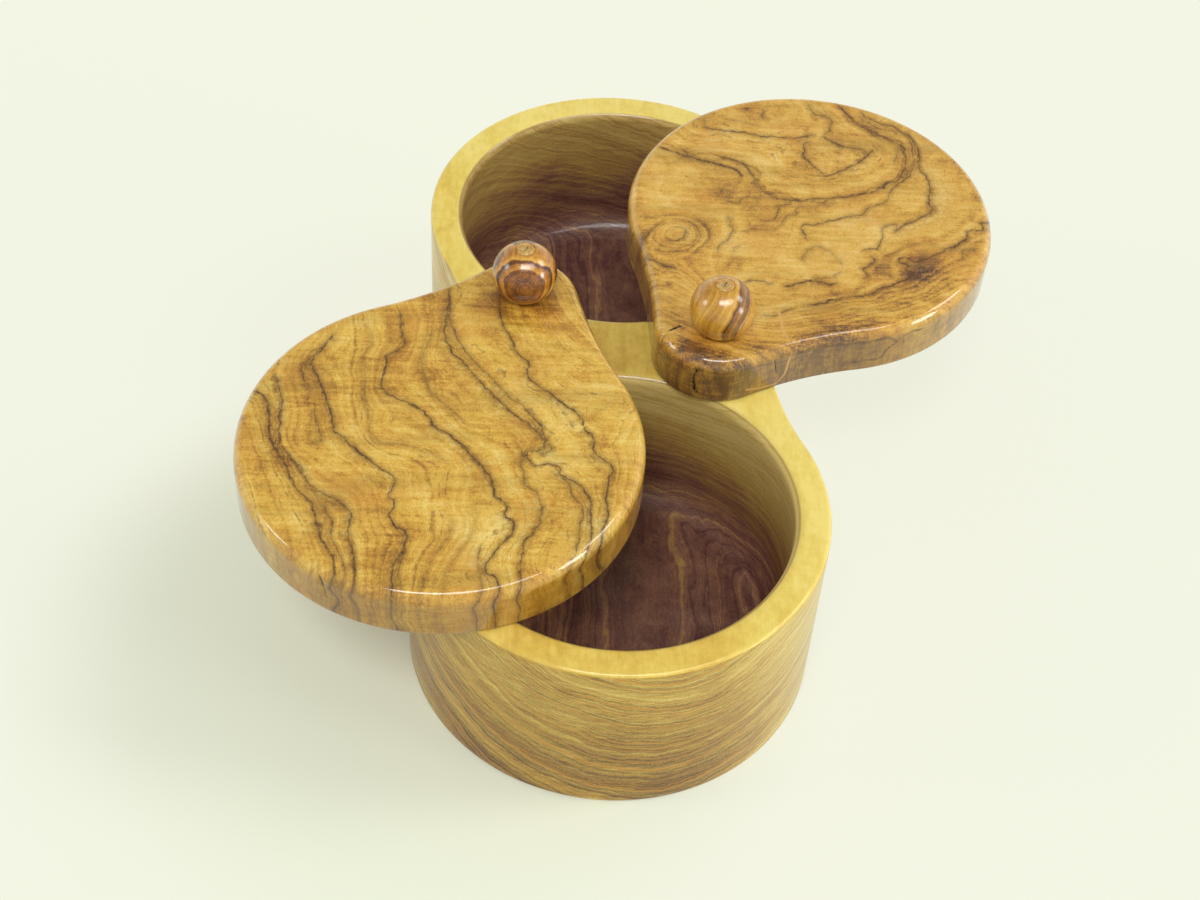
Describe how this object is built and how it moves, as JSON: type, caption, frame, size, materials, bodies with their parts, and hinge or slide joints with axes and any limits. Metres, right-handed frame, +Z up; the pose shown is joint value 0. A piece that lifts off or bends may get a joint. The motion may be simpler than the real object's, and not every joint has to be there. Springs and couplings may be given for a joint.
{
  "type": "double salt cellar",
  "caption": "Waisted wooden block with round bowls side by side, each closed by a pear-shaped lid that swivels aside on a dowel under a turned ball knob.",
  "frame": {"origin": "centre of the block's flat base", "axes": "+Z up, +X along the two bowls towards the right bowl, +Y towards the side of the waist that carries the right lid's pivot"},
  "size_m": [0.182, 0.1671, 0.0685],
  "materials": {
    "block_wood": "glossy clear lacquer over pale sapwood and dark-streaked heartwood",
    "left_lid_wood": "glossy clear lacquer over honey-brown wood with long dark veins",
    "right_lid_wood": "glossy clear lacquer over swirling brown wood with dark rings",
    "knob_wood": "glossy clear lacquer over turned wood with dark rings",
    "dowel_wood": "pale end grain under clear lacquer"
  },
  "bodies": {
    "base": {"block": "block_wood", "left_pin": "dowel_wood", "right_pin": "dowel_wood", "left_knob": "knob_wood", "right_knob": "knob_wood"},
    "left_lid": {"left_lid": "left_lid_wood"},
    "right_lid": {"right_lid": "right_lid_wood"}
  },
  "joints": [
    {"name": "left_lid_swivel", "type": "hinge", "parent": "base", "child": "left_lid", "pos_m": [-0.0045, -0.0215, 0.0443], "axis": [0, 0, 1], "range_deg": [-187.2, 21]},
    {"name": "right_lid_swivel", "type": "hinge", "parent": "base", "child": "right_lid", "pos_m": [0.0045, 0.0215, 0.0443], "axis": [0, 0, 1], "range_deg": [-178, 20]}
  ],
  "couplings": [
    {"joint": "right_lid_swivel", "follows": "left_lid_swivel", "ratio": 0.9509}
  ]
}
